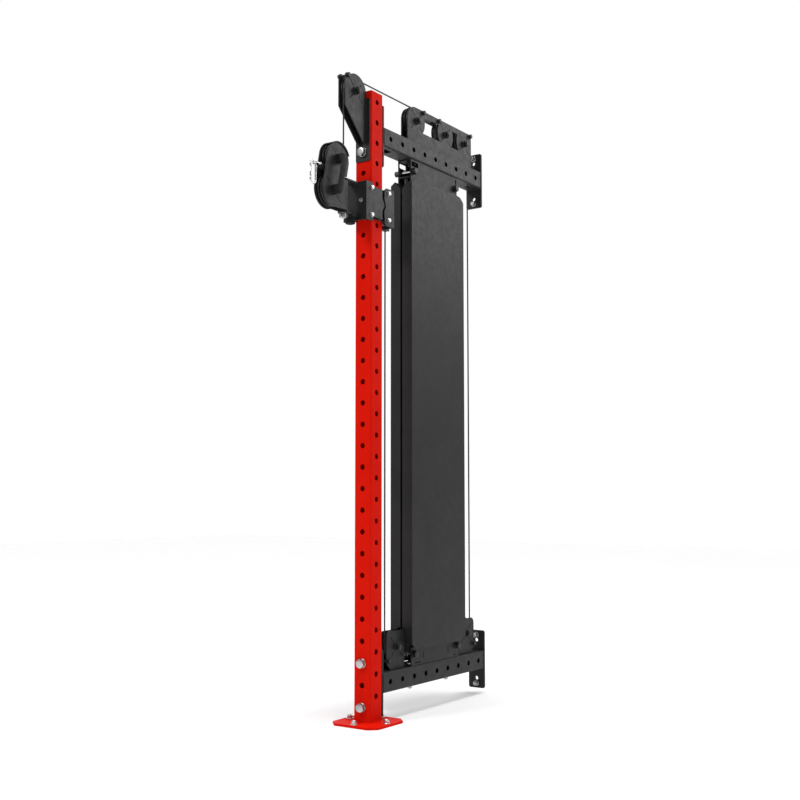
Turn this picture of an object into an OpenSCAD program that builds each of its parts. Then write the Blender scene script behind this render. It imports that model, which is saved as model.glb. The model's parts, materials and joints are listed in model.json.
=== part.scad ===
// Wall pulley weight stack: one punched upright, two beams to the wall, a covered
// weight tower between them, and a trolley with a swivelling two-pulley head.
// +Z up, +X right, -Y towards the user. Origin: centre of the upright's foot, on the floor.

/* [Frame] */
// Height of the upright's top above the floor
upright_top = 2380; // [2360:1:2400]
// Width of the square tubes
tube_w = 75; // [74:0.5:76]
// Wall thickness of the square tubes
tube_t = 3; // [2:0.5:4]
// Outer corner radius of the square tubes
tube_r = 6; // [5:0.5:8]
// Distance from hole to hole
hole_pitch = 80; // [78:1:82]
// Diameter of the punched holes
hole_d = 21; // [18:0.5:23]
// Side of the square foot plate
foot_w = 210; // [200:1:240]
// Thickness of the foot plate
foot_t = 8; // [6:1:9]
// Height of the lower beam's centre
lower_z = 141; // [140:1:142]
// Height of the upper beam's centre
upper_z = 2221; // [2220:1:2222]

/* [Pulleys] */
// Radius of the cable's centre on a pulley
pulley_r = 54; // [53.5:0.1:54.2]
// Radius of a pulley's flange
flange_r = 59; // [57.5:0.5:59.5]
// Width of a pulley
pulley_w = 24; // [20:1:24]
// Diameter of the cable
cable_d = 6; // [5:0.1:6]
// Radius of the pulley axles
axle_r = 5; // [4:0.5:6]

/* [Weight tower] */
// Half width of the covered tower
tower_x = 51; // [50:0.5:54]
// Sheet thickness of the covers
cover_t = 2; // [1.5:0.5:2.5]
// Number of weight plates under the head plate
plate_count = 20; // [12:1:20]
// Number of plates that the selector pin lifts
picked = 5; // [1:1:10]
// Thickness of a weight plate
plate_t = 20; // [16:1:20]
// Radius of the guide rods
rod_r = 12.5; // [10:0.5:13]

/* [Trolley] */
// Half width of the trolley
trolley_x = 54; // [53:0.5:56]
// Sheet thickness of the trolley
trolley_t = 5; // [4:0.5:6]
// Height of the trolley's middle, where its lock pin sits
trolley_z = 1941; // [1941]

/* [Hidden] */
$fn = 48;
hw = tube_w / 2;
y0 = 45.5;
y1 = 777.5;
wall_y = 785.5;
beam_top = upper_z + hw;
base_top = lower_z + hw;
hole_z0 = 101;
front_z0 = 61;
top_z = 2359;
bot_z = 262;
// axle places, [Y, Z]
P_TF = [-108, top_z];
P_B1 = [303.5, top_z];
P_B2 = [519.5, top_z];
P_B3 = [668, top_z];
P_BR = [668, bot_z];
P_BF = [159, bot_z];
P_FL = [411.5, 800];
P_YU = [-216, 2067.5];
P_YL = [-243, 1946.5];
piv_y = -162;
rod_y = [255.5, 567.5];
stack_z = 262;
pitch = plate_t + 0.3;
head_z = stack_z + plate_count * pitch;
pin_z = head_z - picked * pitch + plate_t / 2 + 0.15;
tz = trolley_z;

red = [0.80, 0.11, 0.07];
blk = [0.16, 0.16, 0.16];
zinc = [0.75, 0.75, 0.77];
steel = [0.60, 0.61, 0.63];
gum = [0.10, 0.10, 0.10];
nylon = [0.09, 0.09, 0.10];

// ---- helpers ----
module bx(a, b, c, d, e, f) translate([a, c, e]) cube([b - a, d - c, f - e]);
module xcyl(a, b, y, z, r) translate([a, y, z]) rotate([0, 90, 0]) cylinder(h = b - a, r = r);
module ycyl(a, b, x, z, r) translate([x, a, z]) rotate([-90, 0, 0]) cylinder(h = b - a, r = r);
module zcyl(a, b, x, y, r) translate([x, y, a]) cylinder(h = b - a, r = r);
module xhex(a, b, y, z, af) translate([a, y, z]) rotate([0, 90, 0]) cylinder(h = b - a, r = af / 2 / cos(30), $fn = 6);
module yhex(a, b, x, z, af) translate([x, a, z]) rotate([-90, 0, 0]) cylinder(h = b - a, r = af / 2 / cos(30), $fn = 6);
module zhex(a, b, x, y, af) translate([x, y, a]) cylinder(h = b - a, r = af / 2 / cos(30), $fn = 6);
// a (Y, Z) outline extruded along X
module xplate(a, b) translate([a, 0, 0]) rotate([90, 0, 90]) linear_extrude(b - a) children();
// an (X, Z) outline extruded along Y
module yplate(a, b) translate([0, b, 0]) rotate([90, 0, 0]) linear_extrude(b - a) children();
module rr(a, b, c, d, r) {
  translate([a + r, c]) square([b - a - 2 * r, d - c]);
  translate([a, c + r]) square([b - a, d - c - 2 * r]);
  for (x = [a + r, b - r], y = [c + r, d - r]) translate([x, y]) circle(r);
}
// solid bar with rounded long edges along Z, X or Y
module barz(w, z0, z1, r) translate([0, 0, z0]) linear_extrude(z1 - z0) rr(-w / 2, w / 2, -w / 2, w / 2, r);
module bary(w, a, b, z, r) yplate(a, b) rr(-w / 2, w / 2, z - w / 2, z + w / 2, r);

module upright() color(red) difference() {
  barz(tube_w, foot_t, upright_top, tube_r);
  barz(tube_w - 2 * tube_t, foot_t - 1, upright_top - 3, tube_r - 2.5);
  for (k = [0:28]) xcyl(-60, 60, 0, hole_z0 + hole_pitch * k, hole_d / 2);
  for (k = [0:28]) ycyl(-60, 60, 0, front_z0 + hole_pitch * k, hole_d / 2);
}
module foot_plate() color(red) difference() {
  translate([0, 0, 0]) linear_extrude(foot_t) polygon([for (q = [0:3]) each [for (s = [-1, 1])
    let (a = 90 * q, c = foot_w / 2, d = s * (foot_w / 2 - 30))
    [c * cos(a) - d * sin(a), c * sin(a) + d * cos(a)]]]);
  for (a = [0:90:270]) rotate([0, 0, a]) zcyl(-1, foot_t + 1, 84, 0, 6.2);
}
module foot_anchors() color(zinc) for (a = [0:90:270]) rotate([0, 0, a]) {
  zcyl(0, foot_t + 16, 84, 0, 6);
  difference() { zcyl(foot_t, foot_t + 2.5, 84, 0, 14); zcyl(foot_t - 1, foot_t + 4, 84, 0, 6); }
  difference() { zhex(foot_t + 2.5, foot_t + 12.5, 84, 0, 19); zcyl(foot_t, foot_t + 14, 84, 0, 6); }
}
module beam(z) difference() {
  bary(tube_w, y0, y1, z, tube_r);
  bary(tube_w - 2 * tube_t, y0 - 1, y1 + 1, z, tube_r - 2.5);
  for (i = [0:8]) xcyl(-60, 60, 91.5 + hole_pitch * i, z, hole_d / 2);
}
// the cables pass down through slots in the upper beam
module cable_slots(a, b) for (y = [357.5, 465.5, 722]) bx(-9, 9, y - 12, y + 12, a, b);
module upper_beam() color(blk) difference() {
  beam(upper_z);
  cable_slots(upper_z - 60, upper_z + 60);
  translate([0, 0, upper_z - 60]) linear_extrude(40) rr(-15, 15, 80, 130, 8);
  for (x = [-16, 16], y = [300, 520]) zcyl(upper_z - 60, upper_z - 20, x, y, 5.5);
}
module lower_beam() color(blk) difference() {
  beam(lower_z);
  for (x = [-16, 16], y = [250, 508]) zcyl(lower_z - 60, lower_z + 60, x, y, 5.2);
}
module beam_end_plates() color(blk) {
  beam_flanges();
  wall_plate(upper_z);
  wall_plate(lower_z);
}
module beam_flanges() for (z = [upper_z, lower_z]) difference() {
  yplate(hw, y0) rr(-hw, hw, z - 122.5, z + 122.5, 8);
  for (s = [-80, 80]) ycyl(hw - 1, y0 + 1, 0, z + s, hole_d / 2);
}
module wall_plate(z) difference() {
  yplate(y1, wall_y) rr(-38, 38, z - 121, z + 121, 9);
  for (s = [-101, 101]) ycyl(y1 - 1, wall_y + 1, 0, z + s, 6.7);
  for (s = [-80, 80]) ycyl(y1 - 1, wall_y + 1, 0, z + s, 8);
}
module wall_bolts() color(zinc) for (z = [upper_z, lower_z], s = [-101, 101]) {
  ycyl(y1 - 20, wall_y, 0, z + s, 6.5);
  difference() { ycyl(y1 - 2.5, y1, 0, z + s, 12); ycyl(y1 - 4, y1 + 1, 0, z + s, 6.5); }
  difference() { yhex(y1 - 13, y1 - 2.5, 0, z + s, 19); ycyl(y1 - 22, y1, 0, z + s, 6.5); }
}
// one through bolt: head at the front, nut behind the flange
module frame_bolt(z, yf) {
  ycyl(yf, y0 + 24, 0, z, 9.9);
  yhex(yf - 17, yf - 4, 0, z, 31);
  ycyl(yf - 4, yf, 0, z, 18);
  difference() { yhex(y0 + 3, y0 + 18, 0, z, 30); ycyl(y0, y0 + 30, 0, z, 9.9); }
  difference() { ycyl(y0, y0 + 3, 0, z, 18); ycyl(y0 - 1, y0 + 5, 0, z, 9.9); }
}
// small bolt that clamps a channel to a beam
module channel_bolt(x, y, a, b) {
  zcyl(a - 3, b, x, y, 5);
  difference() { zhex(a, a + 9, x, y, 17); zcyl(a - 4, b + 1, x, y, 5); }
  zhex(b, b + 6.5, x, y, 17);
}
module frame_bolts() color(zinc) {
  ycyl(-hw - 5, y0 + 24, 0, upper_z + 80, 8);
  translate([0, -hw - 15, upper_z + 80]) rotate([-90, 0, 0]) rotate([0, 0, 30]) cylinder(h = 10, r = 12 / cos(30), $fn = 6);
  difference() { ycyl(y0, y0 + 3, 0, upper_z + 80, 18); ycyl(y0 - 1, y0 + 5, 0, upper_z + 80, 8); }
  difference() { yhex(y0 + 3, y0 + 16, 0, upper_z + 80, 24); ycyl(y0, y0 + 30, 0, upper_z + 80, 8); }
  frame_bolt(upper_z - 80, -hw - 5);
  frame_bolt(lower_z + 80, -hw);
  frame_bolt(lower_z - 80, -hw);
  for (x = [-16, 16], y = [250, 508]) channel_bolt(x, y, lower_z - hw - 9, base_top + 5);
  for (x = [-16, 16], y = [300, 520]) mirror([0, 0, 1])
    channel_bolt(x, y, -(upper_z - hw + tube_t) - 9, -(upper_z - hw - 5));
}

// four relief slots round an axle
module slots(p) for (a = [45:90:315]) translate([0, p[0], p[1]]) rotate([a, 0, 0]) bx(-30, 30, 24, 56, -1.5, 1.5);
module cheek_holes(p) { slots(p); xcyl(-30, 30, p[0], p[1], axle_r + 0.2); }
module keeper_hole(y, z) xcyl(-30, 30, y, z, 4.2);
module cheeks() { xplate(13, 17) children(); xplate(-17, -13) children(); }
module disc2(p, r) translate(p) circle(r, $fn = 96);

module top_front_bracket() color(blk) {
  difference() {
    cheeks() {
      disc2(P_TF, 65);
      polygon([[-173, 2288], [-173, 2400], [-161, 2414], [-108, 2416], [-47, 2370], [-42.5, 2349],
        [-42.5, 2172], [-62, 2175]]);
      disc2([-161, 2404], 10.5);
    }
    cheek_holes(P_TF);
    keeper_hole(-161, 2404);
  }
  difference() {
    yplate(-42.5, -hw) rr(-32.5, 32.5, 2105, 2349, 5);
    ycyl(-50, -30, 0, upper_z - 80, hole_d / 2);
    ycyl(-50, -30, 0, upper_z + 80, hole_d / 2);
  }
}
beam_keepers = [[349, 2405], [467, 2404], [716, 2405]];
// long cheek over the upper beam, with a window in front of and behind the middle pulley
module beam_cheek() difference() {
  union() {
    translate([295, beam_top]) square([433, 155]);
    translate([238, beam_top]) square([60, 98]);
    translate([297, beam_top + 96]) circle(59, $fn = 96);
    for (p = beam_keepers) disc2(p, 9.8);
  }
  difference() {
    polygon([[P_B1[0], 2319], [P_B2[0], 2319], [P_B2[0], 2389], [377, 2389], [360, 2381], [P_B1[0], 2381]]);
    disc2(P_B1, flange_r); disc2(P_B2, flange_r);
    translate([P_B1[0] - 1, 2300]) square([40, 90]);
    translate([P_B2[0] - 39, 2300]) square([40, 90]);
  }
  difference() {
    translate([P_B2[0] + 40, 2319]) square([68, 70]);
    disc2(P_B2, flange_r); disc2(P_B3, flange_r);
  }
}
module beam_pulley_bracket() color(blk) {
  difference() {
    cheeks() beam_cheek();
    for (p = [P_B1, P_B2, P_B3]) cheek_holes(p);
    for (p = beam_keepers) keeper_hole(p[0], p[1]);
  }
  difference() {
    bx(-17, 17, 238, 728, beam_top, beam_top + 4);
    cable_slots(beam_top - 1, beam_top + 5);
  }
}
module bottom_cheek() difference() {
  union() {
    polygon([[95, 205], [119, base_top], [212, base_top], [212, 322], [117, 322], [95, 300]]);
    translate([117, 300]) circle(22);
  }
}
module bottom_brackets() color(blk) {
  difference() { cheeks() bottom_cheek(); cheek_holes(P_BF); keeper_hole(102, 214); }
  bx(-17, 17, 126, 212, base_top, base_top + 4);
  difference() {
    translate([0, 823, 0]) mirror([0, 1, 0]) cheeks() bottom_cheek();
    cheek_holes(P_BR);
    keeper_hole(721, 214);
  }
  bx(-17, 17, 611, 697, base_top, base_top + 4);
}

// axle bolt along X with its bosses, head (+X) and nut (-X)
module axle(p, w, out, r = 12.5, af = 17) {
  xcyl(-w - 12, w + 6, p[0], p[1], axle_r);
  if (r > 13) xcyl(w + out - 1, w + out + 4, p[0], p[1], 8.5);
  for (s = [-1, 1]) difference() {
    xcyl(s > 0 ? w : -w - 5, s > 0 ? w + 5 : -w, p[0], p[1], s > 0 ? r : 12.5);
    xcyl(-w - 12, w + 6, p[0], p[1], axle_r);
  }
  xhex(w + 5, w + out, p[0], p[1], af);
  difference() { xhex(-w - 11, -w - 5, p[0], p[1], 17); xcyl(-w - 14, w, p[0], p[1], axle_r); }
}
// spacers that keep a pulley in the middle between its cheeks
module spacers(p, w) for (s = [-1, 1]) difference() {
  xcyl(s > 0 ? pulley_w / 2 + 0.1 : -w, s > 0 ? w : -pulley_w / 2 - 0.1, p[0], p[1], 9);
  xcyl(-w - 1, w + 1, p[0], p[1], axle_r);
}
// cable keeper: a screw and sleeve across the cheeks, just outside the flange
module keeper(p) {
  difference() { xcyl(-13, 13, p[0], p[1], 4.5); xcyl(-14, 14, p[0], p[1], 3.9); }
  xcyl(-26, 18, p[0], p[1], 3.9);
  xcyl(17, 20, p[0], p[1], 9.8);
  xhex(20, 28, p[0], p[1], 16);
  difference() { xhex(-25, -17, p[0], p[1], 17); xcyl(-27, -10, p[0], p[1], 3.9); }
}
module bracket_hardware() color(blk) {
  for (p = [P_TF, P_B1, P_B2, P_B3, P_BR, P_BF]) { axle(p, 17, 17, 15, 24); spacers(p, 13); }
  for (p = concat([[-161, 2404], [102, 214], [721, 214]], beam_keepers)) keeper(p);
}
// pulley: grooved rim, web with a raised hub, bearing bore
module pulley(p, bore) translate([0, p[0], p[1]]) rotate([0, 90, 0]) rotate_extrude($fn = 96)
  polygon(concat(
    [[bore, -pulley_w / 2], [16, -pulley_w / 2], [18, -pulley_w / 2 + 5], [40, -pulley_w / 2 + 5], [43, -pulley_w / 2 + 2], [flange_r - 1, -pulley_w / 2 + 2], [flange_r, -pulley_w / 2 + 3], [flange_r, -5]],
    [for (a = [-75:30:75]) [pulley_r - 3.4 * cos(a), 3.4 * sin(a)]],
    [[flange_r, 5], [flange_r, pulley_w / 2 - 3], [flange_r - 1, pulley_w / 2 - 2], [43, pulley_w / 2 - 2], [40, pulley_w / 2 - 5], [18, pulley_w / 2 - 5], [16, pulley_w / 2], [bore, pulley_w / 2]]));
module pulley_top_front() color(nylon) pulley(P_TF, axle_r + 0.06);
module pulley_beam_front() color(nylon) pulley(P_B1, axle_r + 0.06);
module pulley_beam_middle() color(nylon) pulley(P_B2, axle_r + 0.06);
module pulley_beam_rear() color(nylon) pulley(P_B3, axle_r + 0.06);
module pulley_bottom_rear() color(nylon) pulley(P_BR, axle_r + 0.06);
module pulley_bottom_front() color(nylon) pulley(P_BF, axle_r + 0.06);
module pulley_floating() color(nylon) pulley(P_FL, axle_r + 0.06);
module pulley_yoke_upper() color(nylon) pulley(P_YU, axle_r + 0.06);
module pulley_yoke_lower() color(nylon) pulley(P_YL, axle_r + 0.06);

// folded half shell of the tower, on the +X side
module cover_half() {
  x = tower_x; t = cover_t;
  xplate(x - t, x) polygon([[216, 266], [221, 261], [243, 243], [581, 243], [606, 266], [606, 2076],
    [601, 2081], [581, 2096], [554, 2100], [243, 2100], [221, 2081], [216, 2076]]);
  // front lip, cut back round the bottom pulley, and rear lip
  yplate(216, 218) polygon([[18, 268], [x - t, 268], [x - t, 2076], [31, 2086], [4.5, 2060], [4.5, 326], [18, 326]]);
  yplate(604, 606) polygon([[4.5, 268], [x - t, 268], [x - t, 2076], [31, 2086], [4.5, 2060]]);
  // turned edges along the centre gap
  bx(4.5, 6.5, 218, 224, 326, 2056);
  bx(4.5, 6.5, 598, 604, 268, 2056);
}
module cover_right() color(blk) cover_half();
// the left half has the long slot of the selector pin
module cover_left() color(blk) difference() {
  mirror([1, 0, 0]) cover_half();
  bx(-tower_x - 5, -tower_x + 10, 405.5, 417.5, 275, 1850);
}

module hanger_bracket() color(blk) {
  z1 = upper_z - hw;
  difference() {
    union() {
      bx(-31.5, 31.5, 238.5, 584.5, z1 - 5, z1);
      for (s = [-31.5, 26.5]) {
        bx(s, s + 5, 238.5, 584.5, z1 - 75, z1 - 5);
        for (y = [238.5, 474.5]) bx(s, s + 5, y, y + 110, z1 - 130, z1 - 70);
      }
      for (y = rod_y) bx(-27, 27, y - 17, y + 17, z1 - 75, z1 - 69);
    }
    for (y = [246, 577]) xcyl(-40, 40, y, 2119, 3.5);
    for (y = [243, 532]) xplate(-40, 40) rr(y, y + 48, 2155, 2175, 5);
    for (y = rod_y) xcyl(-40, 40, y, 2135, 6.2);
    bx(-9, 9, 340, 483, z1 - 10, z1 + 1);
    for (x = [-16, 16], y = [300, 520]) zcyl(z1 - 6, z1 + 1, x, y, 5.2);
  }
}
module base_bracket() color(blk) difference() {
  union() {
    bx(-31.5, 31.5, 238.5, 584.5, base_top, base_top + 5);
    for (s = [-31.5, 26.5]) bx(s, s + 5, 238.5, 584.5, base_top + 5, 250);
  }
  for (y = rod_y) xcyl(-40, 40, y, 224, 6.2);
  for (y = [321, 500]) bx(-40, 40, y, y + 4, 202, 226);
  for (y = [262, 517]) bx(-40, 40, y, y + 43, 187, 190);
  for (x = [-16, 16], y = [250, 508]) zcyl(base_top - 1, base_top + 6, x, y, 5.2);
}
module cross_bolts() {
  color(blk) for (z = [2135, 224], y = rod_y) {
    xcyl(z > 1000 ? -56 : -44, 32.5, y, z, 6);
    xcyl(31.5, 35, y, z, 14.5);
    xhex(34.5, 46, y, z, 24);
    difference() { xhex(z > 1000 ? -54 : -42, -32.5, y, z, 22); xcyl(-60, 0, y, z, 6); }
  }
}
module guide_rods() color(steel) for (y = rod_y) difference() {
  zcyl(214.5, 2108.5, 0, y, rod_r);
  xcyl(-40, 40, y, 224, 6.2);
}
module rod_bumpers() color(gum) for (y = rod_y) difference() {
  zcyl(230.2, stack_z, 0, y, 24);
  zcyl(229, stack_z + 5, 0, y, rod_r + 0.3);
}
// one weight plate, drilled for the rods and the selector rod, with the pin's hole from the -X side
module weight(z) difference() {
  xplate(-45, 45) translate([0, z]) rr(226.5, 596.5, 0, plate_t, 3);
  for (y = rod_y) zcyl(z - 1, z + plate_t + 1, 0, y, rod_r + 1);
  zcyl(z - 1, z + plate_t + 1, 0, 411.5, 14);
  xcyl(-50, 0, 411.5, z + plate_t / 2, 5);
}
module resting_plates() color(blk) for (i = [0:plate_count - picked - 1]) weight(stack_z + i * pitch + 0.15);
module lifted_plates() color(blk) for (i = [plate_count - picked:plate_count - 1]) weight(stack_z + i * pitch + 0.15);
module head_plate() color(blk) difference() {
  union() {
    xplate(-45, 45) translate([0, head_z + 0.3]) rr(226.5, 596.5, 0, 25, 4);
    for (y = rod_y) zcyl(head_z + 25, head_z + 60, 0, y, 19);
  }
  for (y = rod_y) zcyl(head_z - 1, head_z + 70, 0, y, rod_r + 0.08);
  zcyl(head_z - 1, head_z + 30, 0, 411.5, 12.6);
}
module selector_rod() color(steel) difference() {
  zcyl(stack_z + 1, head_z + 45, 0, 411.5, 12.5);
  for (i = [0:plate_count - 1]) xcyl(-20, 20, 411.5, stack_z + i * pitch + 0.15 + plate_t / 2, 4.2);
}
module selector_pin() color(zinc) {
  xcyl(-tower_x - 8, 13, 411.5, pin_z, 4);
  xcyl(-tower_x - 36, -tower_x - 8, 411.5, pin_z, 13);
}
module floating_yoke() color(blk) {
  difference() {
    union() {
      cheeks() { disc2(P_FL, 22); polygon([[389.5, 800], [433.5, 800], [436, head_z + 47], [387, head_z + 47]]); }
      bx(-17, 17, 387, 436, head_z + 45, head_z + 51);
    }
    xcyl(-30, 30, P_FL[0], P_FL[1], axle_r + 0.2);
  }
}
module floating_axle() color(blk) { axle(P_FL, 17, 11); spacers(P_FL, 13); }

// ---- trolley ----
tx = trolley_x;
ti = trolley_x - trolley_t;
rol_y = 55;
rol_z = [52.5, -52.5];
rol_r = 17.2;
function bump(z) = abs(z) > 30 ? 0 : (1 + cos(z * 6)) / 2;
// side sheet of the front half, with a bulged rear edge
module front_side() difference() {
  polygon(concat([[-90, tz - 75], [-49, tz - 75], [-45, tz - 58], [12, tz - 58]],
    [for (i = [-9:9]) [12 + 13 * bump(3 * i), tz + 3 * i]],
    [[12, tz + 56], [-45, tz + 56], [-49, tz + 72], [-90, tz + 72]]));
  for (z = rol_z) translate([-rol_y, tz + z]) circle(axle_r + 0.2);
}
// hinge tab for the swivel head
module tab(z) difference() {
  translate([0, 0, z]) linear_extrude(6) union() {
    translate([-20, piv_y]) square([40, -88 - piv_y]);
    translate([0, piv_y]) circle(20);
  }
  zcyl(z - 1, z + 7, 0, piv_y, 8.06);
  zcyl(z - 1, z + 7, 0, -118, 4.06);
}
module trolley_front() color(blk) {
  difference() {
    bx(-tx, tx, -90, -85, tz - 75, tz + 72);
    ycyl(-92, -80, 29, tz, 4.1);
  }
  xplate(ti, tx) front_side();
  difference() { xplate(-tx, -ti) front_side(); xcyl(-60, -40, 0, tz, 10.2); }
  tab(tz + 62);
  tab(tz - 62);
  difference() { zcyl(tz - 72, tz - 62, 0, -118, 9); zcyl(tz - 80, tz - 60, 0, -118, 4.06); }
}
module trolley_rear() color(blk) {
  for (s = [[ti, tx], [-tx, -ti]]) xplate(s[0], s[1]) difference() {
    polygon(concat([[40, tz - 76], [90, tz - 76], [90, tz + 70], [40, tz + 70], [28, tz + 60]],
      [for (i = [9:-1:-9]) [26 + 9 * bump(3 * i), tz + 3 * i]], [[28, tz - 66]]));
    for (z = rol_z) translate([rol_y, tz + z]) circle(axle_r + 0.2);
  }
  bx(-tx, tx, 85, 90, tz - 76, tz + 70);
  // inner links that join the two halves
  for (s = [[40.4, 44.4], [-44.4, -40.4]]) difference() {
    bx(s[0], s[1], -72, 74, tz - 62, tz + 62);
    for (y = [-rol_y, rol_y], z = rol_z) xcyl(-60, 60, y, tz + z, axle_r + 0.2);
    xcyl(-60, 0, 0, tz, 10.2);
  }
  // lug that holds the end of the cable
  difference() {
    bx(-11, 11, 90, 119, tz - 76, tz - 40);
    zcyl(tz - 80, tz - 30, 0, 105, cable_d / 2);
  }
}
module roller_axles() color(zinc) {
  for (y = [-rol_y, rol_y], z = rol_z) {
    xcyl(-62, 56, y, tz + z, axle_r);
    xhex(54, 60, y, tz + z, 16);
    difference() { xhex(-60, -54, y, tz + z, 16); xcyl(-64, 0, y, tz + z, axle_r); }
    for (s = [[-21.8, 21.8], [36.2, 40.2], [-40.2, -36.2], [44.6, 48.8], [-48.8, -44.6]]) difference() {
      xcyl(s[0], s[1], y, tz + z, 7.5);
      xcyl(s[0] - 1, s[1] + 1, y, tz + z, axle_r);
    }
  }
  // screw on the front web
  ycyl(-91, -81, 29, tz, 4);
  yhex(-95, -90, 29, tz, 12);
}
// two narrow wheels on one axle
module roller(y, z) color(nylon) for (s = [[22, 36], [-36, -22]]) difference() {
  xcyl(s[0], s[1], y, tz + z, rol_r);
  xcyl(s[0] - 1, s[1] + 1, y, tz + z, axle_r + 0.06);
}
module roller_front_upper() roller(-rol_y, rol_z[0]);
module roller_front_lower() roller(-rol_y, rol_z[1]);
module roller_rear_upper() roller(rol_y, rol_z[0]);
module roller_rear_lower() roller(rol_y, rol_z[1]);
// height lock on the -X side
module lock_housing() color(blk) difference() {
  union() { xcyl(-92, -tx, 0, tz, 15); xcyl(-60, -tx, 0, tz, 20); }
  xcyl(-95, -50, 0, tz, 10.06);
}
module lock_pin() {
  color(steel) { xcyl(-113, -41, 0, tz, 10); xcyl(-41, -39, 0, tz, 8.5); }
  color(blk) xcyl(-128, -113, 0, tz, 18);
}

// ---- swivel head ----
ny = 0.976;
nz = 0.2178;
// straight band of half width r between the two axle centres
module band(r) polygon([[P_YU[0] - r * ny, P_YU[1] + r * nz], [P_YU[0] + r * ny, P_YU[1] - r * nz],
  [P_YL[0] + r * ny, P_YL[1] - r * nz], [P_YL[0] - r * ny, P_YL[1] + r * nz]]);
module yoke_cheek(r) difference() {
  union() {
    disc2(P_YU, r);
    disc2(P_YL, r);
    band(r);
    translate([-244, tz - 54]) square([86, 113]);
  }
  translate([-187, tz + 59]) square([60, 11.5]);
}
module yoke() color(blk) {
  difference() {
    union() { xplate(15, 20) yoke_cheek(61.5); xplate(-20, -15) yoke_cheek(66); }
    for (p = [P_YU, P_YL]) {
      xcyl(-30, 30, p[0], p[1], axle_r + 0.2);
      for (a = [135, 315]) translate([0, p[0], p[1]]) rotate([a, 0, 0]) bx(-30, 30, 24, 56, -1.5, 1.5);
    }
  }
  difference() {
    union() {
      bx(-15, 15, -180, -158, tz - 52, tz + 58);
      zcyl(tz - 54, tz + 59, 0, piv_y, 14);
      // arm with the hole of the detent plunger
      bx(-11, 11, piv_y, -109, tz - 53.7, tz - 49);
    }
    zcyl(tz - 80, tz + 90, 0, piv_y, 8.06);
    zcyl(tz - 60, tz - 40, 0, -118, 4.2);
  }
}
module yoke_hood() color(blk) difference() {
  xplate(-14.8, 24) intersection() {
    difference() { disc2(P_YU, 65.5); disc2(P_YU, 61.7); }
    polygon([P_YU, P_YU + 120 * [cos(22), sin(22)], P_YU + 120 * [cos(48), sin(48)],
      P_YU + 120 * [cos(74), sin(74)], P_YU + 120 * [cos(100), sin(100)], P_YU + 120 * [cos(126), sin(126)]]);
  }
  bx(-7, 7, -186, -130, 2080, 2130);
}
module yoke_handle() color(blk) difference() {
  union() {
    xplate(46, 52) union() { disc2(P_YU, 13.5); disc2(P_YL, 13.5); band(13.5); }
    for (p = [P_YU, P_YL]) bx(20, 47, p[0] - 13.5, p[0] + 13.5, p[1] - 16, p[1] + 16);
  }
  for (p = [P_YU, P_YL]) xcyl(10, 44, p[0], p[1], axle_r + 0.2);
}
module yoke_axles() color(blk) for (p = [P_YU, P_YL]) {
  xcyl(-28, 43.8, p[0], p[1], axle_r);
  difference() { xcyl(-24, -20, p[0], p[1], 12); xcyl(-40, 0, p[0], p[1], axle_r); }
  difference() { xhex(-30, -24, p[0], p[1], 16); xcyl(-40, 0, p[0], p[1], axle_r); }
  spacers(p, 15);
}
module pivot_bolt() color(zinc) {
  zcyl(tz - 82, tz + 72, 0, piv_y, 8);
  zhex(tz + 68, tz + 76, 0, piv_y, 22);
  difference() { zhex(tz - 79, tz - 64, 0, piv_y, 27); zcyl(tz - 90, tz - 50, 0, piv_y, 8); }
  for (z = [tz - 64, tz - 56]) difference() { zcyl(z, z + 1.8, 0, piv_y, 14); zcyl(z - 1, z + 3, 0, piv_y, 8); }
  difference() { zcyl(tz + 59.3, tz + 62, 0, piv_y, 14); zcyl(tz + 50, tz + 70, 0, piv_y, 8); }
}
module detent_plunger() {
  color(gum) zcyl(tz - 95, tz - 73, 0, -118, 19);
  color(zinc) zcyl(tz - 73, tz - 54.2, 0, -118, 4);
}

// ---- cable, in spans along its real route ----
cr = cable_d / 2;
module arc(p, a, b) translate([0, p[0], p[1]]) rotate([90, 0, 90]) rotate([0, 0, a])
  rotate_extrude(angle = b - a, $fn = 96) translate([pulley_r, 0]) circle(cr, $fn = 24);
module cab(a, b, z) ycyl(a, b, 0, z, cr);
module cable_run() color(gum) {
  arc(P_TF, 90, 180);
  cab(P_TF[0], P_B1[0], top_z + pulley_r);
  arc(P_B1, 0, 90);
  arc(P_B2, 90, 180);
  cab(P_B2[0], P_B3[0], top_z + pulley_r);
  arc(P_B3, 0, 90);
  zcyl(bot_z, top_z, 0, P_B3[0] + pulley_r, cr);
  arc(P_BR, 270, 360);
  cab(P_BF[0], P_BR[0], bot_z - pulley_r);
  arc(P_BF, 180, 270);
}
module cable_front() color(gum) zcyl(P_YU[1], top_z, 0, P_YU[0] + pulley_r, cr);
module cable_behind() color(gum) zcyl(bot_z, tz - 42, 0, P_BF[0] - pulley_r, cr);
module cable_lift() color(gum) for (y = [-pulley_r, pulley_r]) zcyl(P_FL[1], top_z, 0, P_FL[0] + y, cr);
module cable_floating() color(gum) arc(P_FL, 180, 360);
// the cable leaves the upper pulley of the head, 10 degrees above level
exit_a = -100;
exit_p = P_YU + pulley_r * [cos(exit_a), sin(exit_a)];
module along(s) translate([0, exit_p[0], exit_p[1]]) rotate([80, 0, 0]) translate([0, 0, s]) children();
module cable_head() color(gum) {
  arc(P_YU, exit_a, 0);
  along(0.02) cylinder(h = 41.98, r = cr);
}
module cable_stop() color(gum) {
  along(42) cylinder(h = 4, r = 6);
  along(46) cylinder(h = 26, r = 10.5);
  along(72) cylinder(h = 6, r = 6.5);
  difference() {
    xplate(-3, 3) { translate([-311, 2029.4]) circle(7); translate([-311, 2024]) square([12, 9]); }
    xcyl(-10, 10, -311, 2029.4, 3.5);
  }
}
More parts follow.
